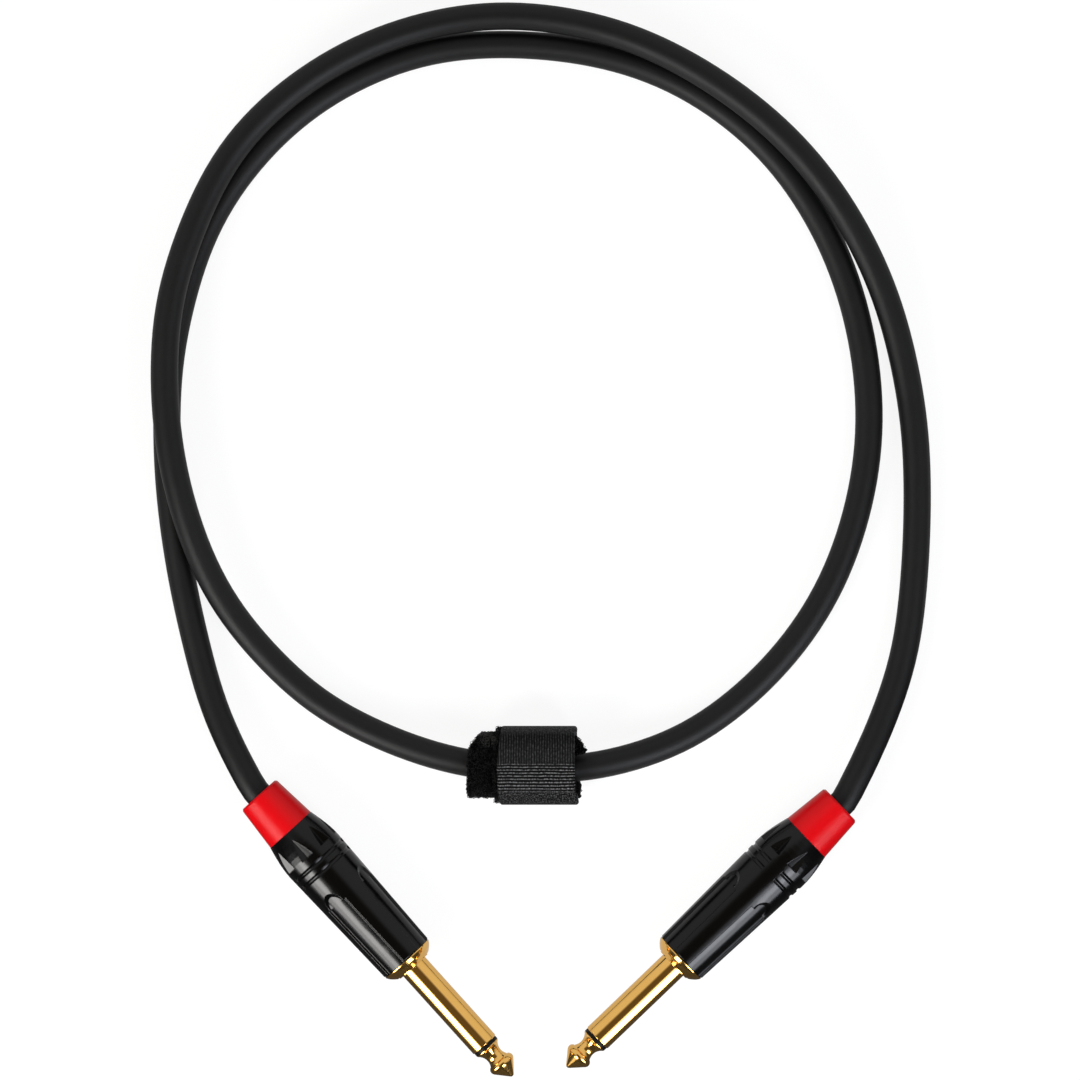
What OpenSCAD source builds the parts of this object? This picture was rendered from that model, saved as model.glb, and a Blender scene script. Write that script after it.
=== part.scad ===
// Instrument cable: a round cable in a loose loop of one and a half turns, with a straight
// 6.35 mm two-contact jack plug on each end and a hook-and-loop tie round it.
// Millimetres, +Z up. The cable, the plugs and the tie lie on the plane z = 0.

/* [Cable] */
// Outer diameter of the cable
cable_d = 6; // [5.4:0.1:6.4]
// Outer diameter of the insulated core
core_d = 2.8; // [2.4:0.1:3]
// Thickness of the spiral shield
shield_wall = 0.3; // [0.25:0.05:0.45]
// Diameter of the stranded conductor
conductor_d = 0.9; // [0.6:0.05:1]
// Straight stretch of cable behind each boot, at least the travel of the boot
straight_len = 4; // [4:0.5:8]
// Free space left between two stretches of cable that cross
crossing_gap = 0.5; // [0.45:0.05:1]

/* [Jack finger] */
// Diameter of the finger that enters the socket
finger_d = 6.35; // [6.2:0.01:6.4]
// Length of the sleeve contact, from the shoulder to the insulating ring
sleeve_len = 23; // [20:0.1:25]
// Width of the insulating ring between sleeve and tip
ring_len = 0.7; // [0.5:0.1:1.5]
// Diameter of the insulating ring
ring_d = 6; // [5.6:0.1:6]
// Length of the tip, from the insulating ring to the nose
tip_len = 8.3; // [7.8:0.1:9]
// Diameter of the tip's neck, where a socket's spring rests
neck_d = 3.8; // [3.4:0.1:4.4]
// Largest diameter of the tip's ball
ball_d = 6.1; // [5.8:0.1:6.2]
// Diameter of the rod that carries the tip
rod_d = 2.4; // [2:0.1:2.8]
// Wall of the insulating tube round the rod
rod_tube_wall = 0.8; // [0.5:0.05:0.9]

/* [Flange and thread] */
// Diameter of the flange that the shell seats on
flange_d = 12.4; // [11.5:0.1:12.6]
// Length of the flange, from the shell to the shoulder of the finger
flange_len = 2.3; // [1.8:0.1:3]
// Diameter of the low boss at the root of the finger
boss_d = 8; // [7:0.1:8.6]
// Diameter of the threaded barrel behind the flange
thread_d = 9.7; // [9.4:0.1:9.9]
// Length of the threaded barrel
thread_len = 5.8; // [5:0.1:7]
// Pitch of the thread
thread_pitch = 0.75; // [0.5:0.05:0.8]
// Turns of the shell from tight to free
thread_turns = 5; // [3:0.5:6]

/* [Shell] */
// Length of the shell
shell_len = 37.6; // [36:0.1:42]
// Diameter of the shell's tail, where the boot meets it
tail_d = 11.8; // [11.4:0.1:12.4]
// Largest diameter of the shell, at its hip
hip_d = 14.1; // [13.6:0.1:15]
// Distance from the tail to the hip
hip_len = 7.8; // [7.6:0.1:8.2]
// Diameter of the shell at its front
front_d = 12.6; // [12.4:0.1:13.2]
// Width of the long grip hollows at the surface
grip_w = 5.8; // [4.6:0.1:6.2]
// Depth of the grip hollows
grip_depth = 0.45; // [0.2:0.05:0.5]
// Distance from the tail to the start of the grip hollows
grip_start = 15.6; // [13:0.1:18]
// Width of the arrow notches at their base
notch_w = 3.6; // [2:0.1:3.6]
// Depth of the arrow notches at their base
notch_depth = 1.1; // [0.5:0.05:1.1]
// Distance from the tail to the point of the arrow notches
notch_start = 1.8; // [1.2:0.1:2]
// Length of the arrow notches
notch_len = 5; // [4:0.05:5.2]
// Depth of the two ring grooves
groove_depth = 0.3; // [0.15:0.05:0.4]
// Distance between the two ring grooves
groove_pitch = 2.1; // [1.5:0.1:2.2]

/* [Boot] */
// Length of the boot behind the shell
boot_len = 10.3; // [9:0.1:13]
// Diameter of the boot at its cable end
boot_end_d = 10; // [9.4:0.1:11]
// Length of the boot's spigot inside the shell
spigot_len = 4; // [3.4:0.1:4.5]
// Diameter of the spigot
spigot_d = 8.4; // [8.2:0.1:8.6]

/* [Inside the plug] */
// Length of the slotted cord clamp
clamp_len = 8.6; // [7:0.1:9.5]
// Smallest outer diameter of the cord clamp
clamp_end_d = 8; // [7.8:0.1:8.4]
// Wall of the insulating tube inside the shell
liner_wall = 0.5; // [0.4:0.05:0.6]
// Thickness of the solder terminals
tab_t = 0.5; // [0.4:0.05:0.6]
// Width of the solder terminals
tab_w = 2.2; // [1.8:0.1:2.4]
// Diameter of the twisted shield pigtail
pigtail_d = 1.2; // [0.9:0.1:1.2]

/* [Tie] */
// Width of the strap's outer turn
strap_w = 17.8; // [14:0.1:20]
// Thickness of the outer turn
strap_t = 1.6; // [1.2:0.1:1.8]
// Thickness of the inner turns with their pile
pile_t = 1.8; // [1.4:0.1:2]
// Width over the inner turns, across the cable
wrap_w = 13.8; // [13.4:0.1:14.6]
// How far the inner turns stand out to the left of the outer turn
wrap_left = 6.5; // [3:0.1:7]
// How far the inner turns stand out to the right of the outer turn
wrap_right = 2; // [0.5:0.1:3]

/* [Hidden] */
$fn = 72;

// Where each plug lies: x and y of the boot's cable end, heading of the tip, roll of the shell
LEFT = [-62.9, 23.1, -47.9, 30];
RIGHT = [63.3, 20.9, 223.8, -41.5];

// Clearances
screw_gap = 0.1;
turning_gap = 0.15;
sliding_gap = 0.2;
assembly_gap = 0.1;
layer_gap = 0.1;
boot_hole_gap = 0.3;
strap_gap = 0.25;
// How far the outer turn's hooks reach into the pile
strap_grip = 0.2;

// Small edges
front_edge = 0.3;
boot_edge = 0.4;
finger_edge = 0.25;
flange_lip = 0.2;
flange_crown = 0.22;

// Stations along a plug, from the boot's cable end towards the nose
tail_z = boot_len;
hip_z = tail_z + hip_len;
flange_z = tail_z + shell_len;
shoulder_z = flange_z + flange_len;
ring_z = shoulder_z + sleeve_len;
tip_z = ring_z + ring_len;
thread_z = flange_z - thread_len;
axis_h = hip_d / 2;

// Radii of the layers, from the conductor outwards, each bore clear of what it holds
jacket_sides = 12;
shield_sides = 6;
core_sides = 6;
function bore_round(r, sides) = (r + layer_gap) / cos(180 / sides);
cable_r = cable_d / 2;
conductor_r = conductor_d / 2;
core_r = core_d / 2;
core_bore_r = bore_round(conductor_r, core_sides);
shield_bore_r = bore_round(core_r, shield_sides);
shield_r = shield_bore_r + shield_wall;
jacket_bore_r = bore_round(shield_r, jacket_sides);

// The boot's spigot and the bead that keeps it in the shell
spigot_r = spigot_d / 2;
bead_h = 0.25;
bead_len = 0.8;
spigot_end = tail_z + spigot_len;
bead_z = spigot_end - 1.2;
boot_hole_r = cable_r + boot_hole_gap;

// The cord clamp and the cone in the shell that closes it
clamp_z = spigot_end + 0.9;
clamp_collar = 2.2;
clamp_front = clamp_z + clamp_len;
thread_bore_r = thread_d / 2 + screw_gap;
liner_r = thread_bore_r - sliding_gap;
clamp_r = liner_r;
shell_bore_r = thread_bore_r + turning_gap;

// Insulators and terminals behind the sleeve
rod_r = rod_d / 2;
rod_hole_r = rod_r + assembly_gap;
rod_tube_r = rod_hole_r + rod_tube_wall;
sleeve_bore_r = rod_tube_r + assembly_gap;
bush_r = 3;
bush_seat_r = bush_r + assembly_gap;
bush_seat_len = 1.5;
bush_back = 1.6;
bush_spigot_len = 2.6;
rod_tube_back = thread_z + bush_seat_len + bush_spigot_len + assembly_gap;
bush_z = thread_z - bush_back;
eyelet_z = bush_z - tab_t;
eyelet_r = 2.4;
rivet_r = 1.7;
rivet_len = 0.5;
washer_r = liner_r - 0.25;
liner_bore_r = liner_r - liner_wall;
liner_front = thread_z - tab_t - assembly_gap;
liner_back = clamp_front + sliding_gap;
ground_y = sqrt(pow(liner_bore_r - assembly_gap, 2) - pow(tab_w / 2, 2));
ground_tab_len = 9;
tip_tab_len = 8;
ground_tab_z = eyelet_z - ground_tab_len;
tip_tab_z = eyelet_z - tip_tab_len;
tip_tab_y = conductor_r + 0.15;

// Where the layers of the cable are cut back inside the plug
jacket_end = clamp_front + 1;
shield_end = jacket_end + 1.5;
core_end = tip_tab_z - 0.6;
conductor_end = eyelet_z - 3;

// The tie, in the plane across the cable
tie_x = -2.3;
tie_y = 29.6;
cable_play = 0.5;
wrap_h = cable_d + 2 * cable_play + 2 * pile_t;
wrap_mid = strap_t + wrap_h / 2;
wrap_round = 4.2;
tie_cable_z = strap_t + pile_t + cable_play + cable_r;
fold_y = 3.5;
fold_gap = 0.3;
flap_end_z = 3.2;

// The cable's route: x, y and how far it rides up, 0 on the plane and 1 on another stretch
LOWER_LOOP = [
    [-71, 37.5, 0.35], [-74.5, 47.5, 0.1], [-80, 72, 0], [-83, 97.5, 0], [-81.5, 123, 0],
    [-72.5, 150, 0], [-54, 171.5, 0], [-29, 184, 0], [-1.5, 186, 0], [24.5, 180, 0],
    [46, 165.5, 0], [60.5, 145, 0], [68, 121, 0], [69, 96.5, 0], [62.5, 72, 0],
    [50, 52.5, 0], [32, 37.5, 0.15]
];
TIE_STRETCH = [[13, 30.2], [-4, 28.8], [-21, 30.8]];
UPPER_LOOP = [
    [-38, 37, 0.3], [-54, 46.5, 0.2], [-70.5, 65.5, 0.55], [-80, 88.5, 0.95], [-83.5, 113.5, 1],
    [-80.5, 137.5, 1], [-67.5, 164.5, 0.85], [-44.5, 183.5, 0.75], [-16, 192, 0.55],
    [12.5, 189, 0.7], [37.5, 177, 0.9], [57.5, 159, 0.8], [71.5, 135.5, 0.4], [78.5, 109, 0],
    [80, 83, 0], [77.5, 57, 0.05], [73, 41.5, 0.25], [69, 32, 0.45]
];
steps_per_span = 2;

function heading_of(side) = [cos(side[2]), sin(side[2]), 0];
function on_axis(side, z) = [side[0], side[1], axis_h] + z * heading_of(side);
function ridden(p) = [p[0], p[1], cable_r + p[2] * (cable_d + crossing_gap)];
function unit(v) = v / norm(v);

LEFT_KNEE = on_axis(LEFT, -straight_len);
RIGHT_KNEE = on_axis(RIGHT, -straight_len);
ROUTE = concat(
    [LEFT_KNEE],
    [for (p = LOWER_LOOP) ridden(p)],
    [for (p = TIE_STRETCH) [p[0], p[1], tie_cable_z]],
    [for (p = UPPER_LOOP) ridden(p)],
    [RIGHT_KNEE]
);
last = len(ROUTE) - 1;
// A point beyond each end makes the curve leave the knee along the plug's axis
BEFORE = ROUTE[1] + 2 * norm(ROUTE[1] - ROUTE[0]) * heading_of(LEFT);
AFTER = ROUTE[last - 1] + 2 * norm(ROUTE[last - 1] - ROUTE[last]) * heading_of(RIGHT);
function route_at(i) = i < 0 ? BEFORE : i > last ? AFTER : ROUTE[i];

// A smooth curve through the route's points, never below the plane that the cable lies on
function blend(a, b, c, d, t) =
    0.5 * (2 * b + t * (c - a) + t * t * (2 * a - 5 * b + 4 * c - d)
    + t * t * t * (3 * b - a - 3 * c + d));
function grounded(p) = [p[0], p[1], max(p[2], cable_r)];
function curve_at(i, t) =
    grounded(blend(route_at(i - 1), route_at(i), route_at(i + 1), route_at(i + 2), t));
FREE_LINE = concat(
    [for (i = [0 : last - 1]) for (s = [0 : steps_per_span - 1]) curve_at(i, s / steps_per_span)],
    [RIGHT_KNEE]
);
// The whole line of a layer that is cut back to a station inside both plugs
function layer_line(end_z) = concat([on_axis(LEFT, end_z)], FREE_LINE, [on_axis(RIGHT, end_z)]);

// Directions along a line, straight through its ends and knees
function along(line, i) =
    i <= 1 ? -heading_of(LEFT)
    : i >= len(line) - 2 ? heading_of(RIGHT)
    : unit(line[i + 1] - line[i - 1]);
function ring_at(line, i, r, sides) =
    let (t = along(line, i), side = unit(cross(t, [0, 0, 1])), up = cross(side, t))
    [for (j = [0 : sides - 1])
        let (a = 360 * j / sides - 90)
        line[i] + r * (cos(a) * side + sin(a) * up)];
function rings(line, r, sides) = [for (i = [0 : len(line) - 1]) each ring_at(line, i, r, sides)];

// Triangles of a swept wall, and of the flat ring or disc that closes it
function wall_faces(count, sides, start, inward) = [
    for (i = [0 : count - 2]) for (j = [0 : sides - 1])
        let (
            a = start + i * sides + j,
            b = start + i * sides + (j + 1) % sides,
            c = b + sides,
            d = a + sides
        )
        each (inward ? [[a, b, c], [a, c, d]] : [[a, c, b], [a, d, c]])
];
function rim_faces(sides, outer, inner, flip) = [
    for (j = [0 : sides - 1])
        let (
            a = outer + j,
            b = outer + (j + 1) % sides,
            c = inner + (j + 1) % sides,
            d = inner + j
        )
        each (flip ? [[a, c, b], [a, d, c]] : [[a, b, c], [a, c, d]])
];
function disc_faces(sides, start, flip) = [
    for (j = [1 : sides - 2]) flip ? [start, start + j + 1, start + j] : [start, start + j, start + j + 1]
];

module swept_tube(line, r, bore_r, sides) {
    count = len(line);
    wall = count * sides;
    polyhedron(
        points = concat(rings(line, r, sides), rings(line, bore_r, sides)),
        faces = concat(
            wall_faces(count, sides, 0, false),
            wall_faces(count, sides, wall, true),
            rim_faces(sides, 0, wall, false),
            rim_faces(sides, wall - sides, 2 * wall - sides, true)
        )
    );
}

module swept_rod(line, r, sides) {
    count = len(line);
    polyhedron(
        points = rings(line, r, sides),
        faces = concat(
            wall_faces(count, sides, 0, false),
            disc_faces(sides, 0, false),
            disc_faces(sides, (count - 1) * sides, true)
        )
    );
}

// Free length between the boots, and the least gap between two stretches of the jacket
function length_of(line) =
    [for (i = [1 : len(line) - 1]) norm(line[i] - line[i - 1])] * [for (i = [1 : len(line) - 1]) 1];
function off_segment(p, a, b) =
    let (t = max(0, min(1, (p - a) * (b - a) / ((b - a) * (b - a))))) norm(p - a - t * (b - a));
far_apart = 6;
quarter_points = [for (i = [0 : len(FREE_LINE) - 2]) for (q = [0 : 3])
    [i, FREE_LINE[i] + q / 4 * (FREE_LINE[i + 1] - FREE_LINE[i])]];
least_gap = min([
    for (p = quarter_points) for (k = [p[0] + far_apart : 1 : len(FREE_LINE) - 2])
        off_segment(p[1], FREE_LINE[k], FREE_LINE[k + 1])
]) - cable_d;
echo(free_length_mm = length_of(FREE_LINE) + 2 * straight_len);
echo(least_gap_to_itself_mm = least_gap);

module at_plug(side) {
    translate([side[0], side[1], axis_h]) rotate([0, 90, side[2]]) children();
}

module revolve(outline) {
    rotate_extrude() polygon(outline);
}

// A round wire through a few points, a little thicker where it bends
knuckle = 0.03;
module wire(points, r) {
    for (i = [0 : len(points) - 2]) {
        run = points[i + 1] - points[i];
        translate(points[i])
            rotate([0, acos(run[2] / norm(run)), atan2(run[1], run[0])])
                cylinder(h = norm(run), r = r);
    }
    for (i = [1 : len(points) - 2]) translate(points[i]) sphere(r = r + knuckle);
}

module cable_jacket() {
    color([0.09, 0.09, 0.1]) swept_tube(layer_line(jacket_end), cable_r, jacket_bore_r, jacket_sides);
}

module cable_shield() {
    color([0.72, 0.43, 0.25]) swept_tube(layer_line(shield_end), shield_r, shield_bore_r, shield_sides);
}

module core_insulation() {
    color([0.9, 0.9, 0.88]) swept_tube(layer_line(core_end), core_r, core_bore_r, core_sides);
}

module core_conductor() {
    color([0.75, 0.45, 0.27]) swept_rod(layer_line(conductor_end), conductor_r, core_sides);
}

// Finger, flange and threaded barrel, turned from one bar
flange_steps = 5;
function flange_outline() = [
    for (i = [0 : flange_steps])
        let (t = i / flange_steps, lip_r = flange_d / 2, top_r = boss_d / 2 + 0.45)
        [lip_r + t * (top_r - lip_r) + flange_crown * sin(180 * t),
            flange_z + flange_lip + t * (flange_len - 0.25 - flange_lip)]
];
module sleeve(side) {
    finger_r = finger_d / 2;
    color([0.83, 0.62, 0.26]) at_plug(side) revolve(concat(
        [
            [bush_seat_r, thread_z],
            [thread_d / 2, thread_z],
            [thread_d / 2, flange_z],
            [flange_d / 2, flange_z]
        ],
        flange_outline(),
        [
            [boss_d / 2, shoulder_z - 0.25],
            [boss_d / 2, shoulder_z],
            [finger_r, shoulder_z],
            [finger_r, ring_z - finger_edge],
            [finger_r - finger_edge, ring_z],
            [sleeve_bore_r, ring_z],
            [sleeve_bore_r, thread_z + bush_seat_len],
            [bush_seat_r, thread_z + bush_seat_len]
        ]
    ));
}

// Tip: collar, hollow neck, ball and cone, on a rod riveted over at its far end
collar_len = 0.2;
neck_at = 2.3;
ball_at = 4.75;
ball_round = 1.06;
cone_angle = 43;
nose_r = 0.5;
function neck_round(collar_r) =
    (pow(collar_r - neck_d / 2, 2) + pow(neck_at - collar_len, 2)) / (2 * (collar_r - neck_d / 2));
function tip_outline() =
    let (
        collar_r = ring_d / 2 - 0.05,
        hollow = neck_round(collar_r),
        ball_mid = ball_d / 2 - ball_round,
        arc_from = -asin((neck_at - collar_len) / hollow),
        arc_to = 33,
        ball_from = -71,
        cone_r = ball_mid + ball_round * cos(cone_angle),
        cone_z = ball_at + ball_round * sin(cone_angle)
    )
    concat(
        [[collar_r, tip_z]],
        [for (i = [0 : 8]) let (a = arc_from + i / 8 * (arc_to - arc_from))
            [neck_d / 2 + hollow * (1 - cos(a)), tip_z + neck_at + hollow * sin(a)]],
        [for (i = [0 : 8]) let (a = ball_from + i / 8 * (cone_angle - ball_from))
            [ball_mid + ball_round * cos(a), tip_z + ball_at + ball_round * sin(a)]],
        [[nose_r, tip_z + tip_len - 0.2], [nose_r - 0.25, tip_z + tip_len], [0, tip_z + tip_len]]
    );
module tip_contact(side) {
    color([0.83, 0.62, 0.26]) at_plug(side) revolve(concat(
        [
            [0, eyelet_z - rivet_len],
            [rivet_r, eyelet_z - rivet_len],
            [rivet_r, eyelet_z],
            [rod_r, eyelet_z],
            [rod_r, tip_z]
        ],
        tip_outline()
    ));
}

module tip_insulator(side) {
    color([0.08, 0.07, 0.07]) at_plug(side) revolve([
        [rod_hole_r, rod_tube_back],
        [rod_tube_r, rod_tube_back],
        [rod_tube_r, ring_z],
        [ring_d / 2, ring_z],
        [ring_d / 2, tip_z],
        [rod_hole_r, tip_z]
    ]);
}

module rear_insulator(side) {
    bush_front = thread_z + bush_seat_len;
    color([0.12, 0.12, 0.12]) at_plug(side) revolve([
        [rod_hole_r, bush_z],
        [bush_r, bush_z],
        [bush_r, bush_front],
        [rod_tube_r, bush_front],
        [rod_tube_r, bush_front + bush_spigot_len],
        [rod_hole_r, bush_front + bush_spigot_len]
    ]);
}

// A lug: an eyelet under the rivet and a strip cranked down beside the conductor
module tip_terminal(side) {
    crank_z = eyelet_z - rivet_len - 0.8;
    strip_top = eyelet_r;
    color([0.78, 0.78, 0.76]) at_plug(side) {
        difference() {
            union() {
                translate([0, 0, eyelet_z]) cylinder(h = tab_t, r = eyelet_r);
                translate([-tab_w / 2, 0, 0]) rotate([90, 0, 90]) linear_extrude(tab_w) polygon([
                    [strip_top - tab_t, eyelet_z + tab_t],
                    [strip_top, eyelet_z + tab_t],
                    [strip_top, crank_z - tab_t],
                    [tip_tab_y + tab_t, crank_z - tab_t],
                    [tip_tab_y + tab_t, tip_tab_z],
                    [tip_tab_y, tip_tab_z],
                    [tip_tab_y, crank_z],
                    [strip_top - tab_t, crank_z]
                ]);
            }
            translate([0, 0, eyelet_z - 1]) cylinder(h = tab_t + 2, r = rod_hole_r);
            translate([0, 0, eyelet_z + tab_t]) cylinder(h = 1, r = eyelet_r + 1);
        }
    }
}

// A washer behind the thread with a long tab beside the shield's pigtail
module ground_terminal(side) {
    color([0.78, 0.78, 0.76]) at_plug(side) {
        difference() {
            translate([0, 0, thread_z - tab_t]) cylinder(h = tab_t, r = washer_r);
            translate([0, 0, thread_z - tab_t - 1]) cylinder(h = tab_t + 2, r = bush_seat_r);
        }
        translate([-tab_w / 2, -ground_y, ground_tab_z])
            cube([tab_w, tab_t, thread_z - ground_tab_z]);
    }
}

module insulating_tube(side) {
    color([0.2, 0.2, 0.2]) at_plug(side) difference() {
        translate([0, 0, liner_back]) cylinder(h = liner_front - liner_back, r = liner_r);
        translate([0, 0, liner_back - 1]) cylinder(h = liner_front - liner_back + 2, r = liner_bore_r);
    }
}

// Four jaws on a collar, pressed on the jacket by the cone inside the shell
module cord_clamp(side) {
    jaw_gap = 0.8;
    jaws = 4;
    color([0.86, 0.86, 0.82]) at_plug(side) difference() {
        revolve([
            [cable_r + assembly_gap, clamp_z],
            [clamp_end_d / 2, clamp_z],
            [clamp_r, clamp_front - clamp_collar],
            [clamp_r, clamp_front],
            [cable_r + assembly_gap, clamp_front]
        ]);
        for (k = [0 : jaws / 2 - 1]) rotate(k * 360 / jaws)
            translate([-clamp_r - 1, -jaw_gap / 2, clamp_z - 1])
                cube([2 * clamp_r + 2, jaw_gap, clamp_len - clamp_collar + 0.4]);
    }
}

// The shield's strands, twisted and led from the end of the shield to the ground tab
pigtail_from = -core_r - pigtail_d / 2 - 0.1;
pigtail_to = -ground_y + tab_t + pigtail_d / 2 + 0.05;
pigtail_points = [
    [0, pigtail_from, shield_end + 0.1],
    [0, pigtail_from, shield_end + 1.2],
    [0, pigtail_to, ground_tab_z - 0.4],
    [0, pigtail_to, ground_tab_z + 4]
];
module shield_pigtail(side) {
    color([0.72, 0.43, 0.25]) at_plug(side) wire(pigtail_points, pigtail_d / 2);
}

// A blob of solder at each terminal, round the wire and against the tab
module solder_joints(side) {
    blob_r = 1.15;
    skin = 0.03;
    tip_joint_z = tip_tab_z + 3.2;
    ground_joint_z = ground_tab_z + 2.4;
    color([0.68, 0.69, 0.7]) at_plug(side) {
        difference() {
            translate([0, 0.1, tip_joint_z]) sphere(r = blob_r);
            translate([0, 0, tip_joint_z - 2]) cylinder(h = 4, r = conductor_r + skin);
            translate([-tab_w, tip_tab_y - skin, tip_joint_z - 2]) cube([2 * tab_w, 3, 4]);
        }
        difference() {
            translate([0, pigtail_to + 0.15, ground_joint_z]) sphere(r = blob_r);
            translate([0, pigtail_to, ground_joint_z - 2]) cylinder(h = 4, r = pigtail_d / 2 + skin);
            translate([-tab_w, -ground_y - 2, ground_joint_z - 2]) cube([2 * tab_w, tab_t + 2 + skin, 4]);
        }
    }
}

// Radius of the shell's barrel, which narrows evenly from the hip to the front
function barrel_r(z) = hip_d / 2 + (z - hip_z) / (flange_z - hip_z) * (front_d - hip_d) / 2;
function tail_r(z) = tail_d / 2 + (hip_d - tail_d) / 2 * sin(90 * (z - tail_z) / hip_len);
hip_steps = 6;
function shell_outline() = concat(
    [for (i = [0 : hip_steps]) let (z = tail_z + i / hip_steps * hip_len) [tail_r(z), z]],
    [
        [front_d / 2, flange_z - front_edge],
        [front_d / 2 - front_edge, flange_z],
        [thread_bore_r, flange_z],
        [thread_bore_r, thread_z],
        [shell_bore_r, thread_z - 0.3],
        [shell_bore_r, clamp_front - clamp_collar],
        [clamp_end_d / 2 + sliding_gap, clamp_z],
        [clamp_end_d / 2 + sliding_gap, spigot_end + 0.3],
        [spigot_r + turning_gap, spigot_end + 0.3],
        [spigot_r + turning_gap, bead_z + bead_len + turning_gap],
        [spigot_r + bead_h + turning_gap, bead_z + bead_len + turning_gap],
        [spigot_r + bead_h + turning_gap, bead_z - turning_gap],
        [spigot_r + turning_gap, bead_z - turning_gap],
        [spigot_r + turning_gap, tail_z]
    ]
);

// A long hollow with sloped walls: a round start, then straight until it runs out at the front.
// Its floor follows the taper of the barrel.
module grip_hollow() {
    start_z = tail_z + grip_start;
    start_r = barrel_r(start_z);
    arch_r = grip_w / 2 + 0.2;
    arch_slope = 2;
    side_slope = 1.6;
    above = 1;
    below = grip_depth + 0.2;
    arch_z = start_z + arch_r;
    edge_x = sqrt(pow(start_r, 2) - pow(grip_w / 2, 2));
    taper = atan((hip_d - front_d) / 2 / (flange_z - hip_z));
    run = flange_z + 2 - start_z;
    difference() {
        union() {
            translate([start_r - below, 0, arch_z]) rotate([0, 90, 0]) cylinder(
                h = below + above,
                r1 = arch_r - below * arch_slope,
                r2 = arch_r + above * arch_slope
            );
            translate([edge_x, 0, arch_z]) rotate([0, -taper, 0]) linear_extrude(run) polygon([
                [-grip_w / 2 / side_slope, 0],
                [above, grip_w / 2 + above * side_slope],
                [above, -grip_w / 2 - above * side_slope]
            ]);
        }
        translate([0, 0, start_z - 2]) cylinder(
            h = run + 6,
            r1 = barrel_r(start_z - 2) - grip_depth,
            r2 = barrel_r(start_z + run + 4) - grip_depth
        );
    }
}

// A notch like an arrowhead, pointed at the tail and deepest at its base
module arrow_notch() {
    point_z = tail_z + notch_start;
    base_z = point_z + notch_len;
    fall = tail_r(base_z) - notch_depth - tail_r(point_z);
    spread = notch_w / 2 / notch_depth;
    reach = 4;
    translate([tail_r(point_z), 0, point_z]) rotate([0, atan2(fall, notch_len), 0])
        linear_extrude(norm([fall, notch_len]))
            polygon([[0, 0], [reach, reach * spread], [reach, -reach * spread]]);
}

// Two stretches of a round-bottomed ring groove, with plain metal between them
module ring_groove(z) {
    groove_r = 0.55;
    plain_angle = 29;
    first_plain = 45;
    for (half = [0, 180]) rotate(first_plain + half + plain_angle / 2)
        rotate_extrude(angle = 180 - plain_angle)
            translate([barrel_r(z) + groove_r - groove_depth, z]) circle(r = groove_r, $fn = 24);
}

module shell(side) {
    grips = 4;
    notches = 8;
    first_groove_z = hip_z + 1.3;
    color([0.07, 0.07, 0.075]) at_plug(side) rotate(side[3]) difference() {
        revolve(shell_outline());
        for (k = [0 : grips - 1]) rotate(k * 360 / grips) grip_hollow();
        for (k = [0 : notches - 1]) rotate((k + 0.5) * 360 / notches) arrow_notch();
        ring_groove(first_groove_z);
        ring_groove(first_groove_z + groove_pitch);
    }
}

module boot(side) {
    color([0.85, 0.07, 0.08]) at_plug(side) revolve([
        [boot_hole_r, 0],
        [boot_end_d / 2 - boot_edge, 0],
        [boot_end_d / 2, boot_edge],
        [tail_d / 2 - 0.05, tail_z],
        [spigot_r, tail_z],
        [spigot_r, bead_z],
        [spigot_r + bead_h, bead_z + 0.2],
        [spigot_r + bead_h, bead_z + bead_len],
        [spigot_r, bead_z + bead_len],
        [spigot_r, spigot_end],
        [boot_hole_r, spigot_end]
    ]);
}

// Flat shape of a strap wound round the cable, in the plane across it
module wound(w, h, corner) {
    square([w - 2 * corner, h], center = true);
    square([w, h - 2 * corner], center = true);
    for (x = [-1, 1]) for (y = [-1, 1])
        translate([x * (w / 2 - corner), y * (h / 2 - corner)]) circle(r = corner);
}

module turn(inset, thickness) {
    out = inset + thickness;
    difference() {
        wound(wrap_w + 2 * out, wrap_h + 2 * out, wrap_round + out);
        wound(wrap_w + 2 * inset, wrap_h + 2 * inset, wrap_round + inset);
    }
}

// Places a shape drawn across the cable and gives it its width along the cable
module along_cable(from_x, width) {
    translate([tie_x + from_x, tie_y, wrap_mid]) rotate([90, 0, 90]) linear_extrude(width) children();
}

// The part of the outer turn that lifts: over the top and down the near side
module lifting_side(gap) {
    reach = 30;
    translate([-reach + fold_y - gap, 0]) square([reach, reach]);
    translate([-reach, flap_end_z - wrap_mid + gap]) square([reach - wrap_w / 4, reach]);
}

module tie_wrap() {
    color([0.12, 0.12, 0.13]) {
        along_cable(-strap_w / 2 - wrap_left, strap_w + wrap_left + wrap_right)
            turn(-pile_t, pile_t);
        along_cable(-strap_w / 2, strap_w) difference() {
            turn(-strap_grip, strap_t + strap_grip);
            lifting_side(-fold_gap);
        }
    }
}

module tie_flap() {
    color([0.2, 0.2, 0.21]) along_cable(-strap_w / 2, strap_w) intersection() {
        turn(strap_gap, strap_t);
        lifting_side(0);
    }
}

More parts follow.
